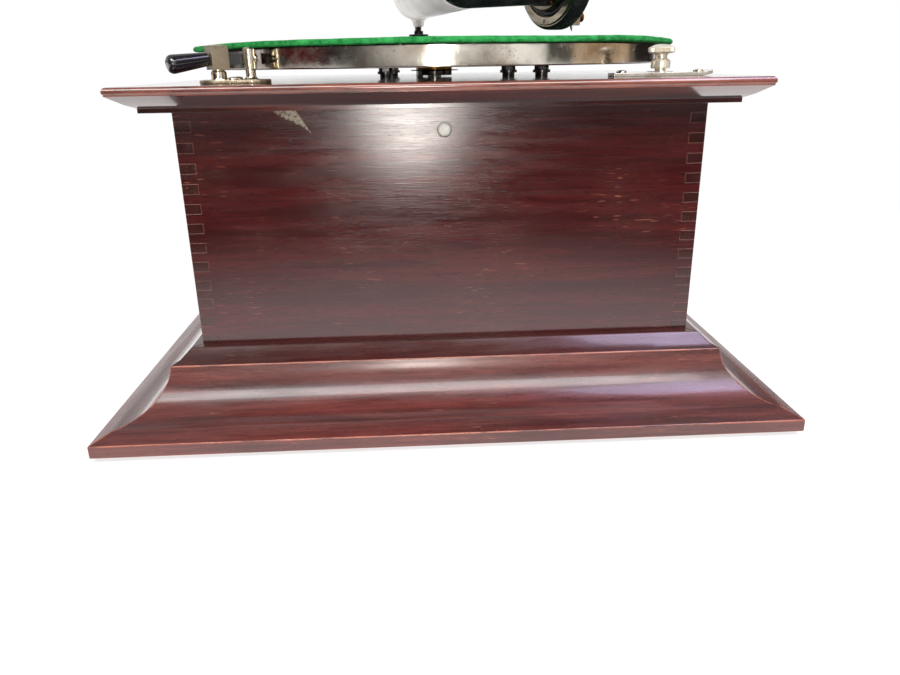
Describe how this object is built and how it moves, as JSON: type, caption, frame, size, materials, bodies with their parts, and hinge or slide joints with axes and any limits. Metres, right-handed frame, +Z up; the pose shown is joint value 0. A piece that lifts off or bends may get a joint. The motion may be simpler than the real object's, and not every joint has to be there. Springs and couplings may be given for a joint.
{
  "type": "horn gramophone",
  "caption": "Table gramophone with a square moulded wooden case, a felted turntable, a hand-wound spring motor, a swinging tone arm with a sound box, and a flared metal horn on a rear bracket.",
  "frame": {"origin": "centre of the case's underside, below the turntable's spindle", "axes": "+Z up along the spindle, -Y towards the front panel, +X to the crank's side"},
  "size_m": [0.4277, 0.5434, 0.7159],
  "materials": {
    "mahogany": "polished red-brown mahogany",
    "base_wood": "bare softwood",
    "bone": "aged bone white",
    "nickel": "worn nickel plate",
    "motor_iron": "grey iron",
    "black_bolts": "blackened steel",
    "bracket_iron": "black japanned iron",
    "green_felt": "green wool felt",
    "brass": "aged brass",
    "steel": "bright steel",
    "grip_wood": "ebonised wood",
    "black_lacquer": "glossy black lacquer",
    "mica": "clear mica with paper gaskets",
    "horn_japan": "glossy black japan"
  },
  "bodies": {
    "case": {"front_panel": "mahogany", "back_panel": "mahogany", "left_panel": "mahogany", "right_panel": "mahogany", "top_board": "mahogany", "plinth_front": "mahogany", "plinth_back": "mahogany", "plinth_left": "mahogany", "plinth_right": "mahogany", "bottom_board": "base_wood", "front_plug": "bone", "winding_escutcheon": "nickel", "motor_top_plate": "motor_iron", "motor_base_plate": "motor_iron", "motor_pillars": "motor_iron", "motor_bolts": "black_bolts", "shaft_bearings": "motor_iron", "brake_plate": "nickel", "brake_posts": "nickel", "speed_strip": "nickel", "plate_screws": "nickel", "horn_bracket": "bracket_iron", "bracket_bolts": "black_bolts", "pivot_screw": "black_bolts"},
    "turntable": {"platter": "nickel", "felt_mat": "green_felt", "platter_hub": "brass", "spindle": "steel", "spindle_pinion": "brass", "governor_wheel": "brass"},
    "intermediate": {"intermediate_wheel": "brass", "intermediate_pinion": "steel"},
    "barrel": {"spring_barrel": "brass", "barrel_lid": "brass", "mainspring": "steel"},
    "winding_arbor": {"barrel_arbor": "steel", "crown_wheel": "steel", "ratchet_wheel": "steel"},
    "pawl": {"pawl": "steel"},
    "governor": {"governor_shaft": "steel", "governor_worm": "steel", "governor_collars": "brass", "governor_weights": "steel"},
    "friction_lever": {"friction_lever": "steel"},
    "crank": {"crank_shaft": "steel", "crank_pinion": "steel", "crank_arm": "steel"},
    "crank_grip": {"crank_grip": "grip_wood"},
    "brake_lever": {"brake_block": "nickel", "brake_handle": "black_lacquer"},
    "speed_knob": {"speed_knob": "nickel"},
    "tone_arm": {"tone_arm": "nickel", "cross_tube": "black_lacquer"},
    "sound_box": {"sound_box": "black_lacquer", "diaphragm": "mica"},
    "stylus": {"stylus_bar": "nickel"},
    "needle_screw": {"needle_screw": "brass"},
    "horn": {"horn_elbow": "horn_japan", "horn_petals": "horn_japan", "horn_rim": "brass"}
  },
  "joints": [
    {"name": "turntable_spin", "type": "hinge", "parent": "case", "child": "turntable", "pos_m": [0, 0, 0.17], "axis": [0, 0, 1], "continuous": true},
    {"name": "intermediate_spin", "type": "hinge", "parent": "case", "child": "intermediate", "pos_m": [0.01054, 0.03599, 0.136], "axis": [0, 0, 1], "continuous": true},
    {"name": "barrel_spin", "type": "hinge", "parent": "case", "child": "barrel", "pos_m": [0.045, 0.06, 0.09], "axis": [0, 0, 1], "continuous": true},
    {"name": "governor_spin", "type": "hinge", "parent": "case", "child": "governor", "pos_m": [0, -0.017, 0.11], "axis": [1, 0, 0], "continuous": true},
    {"name": "crank_turn", "type": "hinge", "parent": "case", "child": "crank", "pos_m": [0.17, 0.06, 0.1205], "axis": [1, 0, 0], "continuous": true},
    {"name": "arbor_turn", "type": "hinge", "parent": "case", "child": "winding_arbor", "pos_m": [0.045, 0.06, 0.11], "axis": [0, 0, 1], "continuous": true},
    {"name": "pawl_lift", "type": "hinge", "parent": "case", "child": "pawl", "pos_m": [0.05396, 0.08002, 0.142], "axis": [0, 0, 1], "range_deg": [-6.81, 3], "stiffness_Nm_per_rad": 0.01, "springref_deg": -17.19},
    {"name": "brake_swing", "type": "hinge", "parent": "case", "child": "brake_lever", "pos_m": [-0.10271, -0.102, 0.17], "axis": [0, 0, 1], "range_deg": [0, 24]},
    {"name": "speed_turn", "type": "hinge", "parent": "case", "child": "speed_knob", "pos_m": [0.10419, -0.09999, 0.165], "axis": [0, 0, 1], "range_deg": [-90, 90]},
    {"name": "friction_lever_turn", "type": "hinge", "parent": "case", "child": "friction_lever", "pos_m": [0.0689, -0.041, 0.12], "axis": [0, 0, 1], "range_deg": [-1.25, 1.25]},
    {"name": "tone_arm_swing", "type": "hinge", "parent": "case", "child": "tone_arm", "pos_m": [-0.006, 0.193, 0.221], "axis": [0, 0, 1], "range_deg": [-12, 26]},
    {"name": "sound_box_turn", "type": "hinge", "parent": "tone_arm", "child": "sound_box", "pos_m": [0.06348, -0.00595, 0.2148], "axis": [0.887, 0.4617, 0], "range_deg": [-15, 120]},
    {"name": "stylus_rock", "type": "hinge", "parent": "sound_box", "child": "stylus", "pos_m": [0.08078, 0.00305, 0.1968], "axis": [-0.4617, 0.887, 0], "range_deg": [-1, 1], "stiffness_Nm_per_rad": 0.05},
    {"name": "needle_screw_turn", "type": "hinge", "parent": "stylus", "child": "needle_screw", "pos_m": [0.0814, 0.00337, 0.19185], "axis": [0.8784, 0.4573, 0.1392], "range_deg": [0, 720]},
    {"name": "crank_grip_spin", "type": "hinge", "parent": "crank", "child": "crank_grip", "pos_m": [0.18, 0.16, 0.1205], "axis": [1, 0, 0], "continuous": true},
    {"name": "horn_turn", "type": "hinge", "parent": "case", "child": "horn", "pos_m": [-0.006, 0.193, 0.253], "axis": [0, 0, 1], "range_deg": [-40, 40]}
  ],
  "couplings": [
    {"joint": "intermediate_spin", "follows": "turntable_spin", "ratio": -0.25},
    {"joint": "barrel_spin", "follows": "turntable_spin", "ratio": 0.041667},
    {"joint": "governor_spin", "follows": "turntable_spin", "ratio": 12},
    {"joint": "arbor_turn", "follows": "crank_turn", "ratio": 0.5},
    {"joint": "friction_lever_turn", "follows": "speed_turn", "ratio": 0.0133}
  ]
}
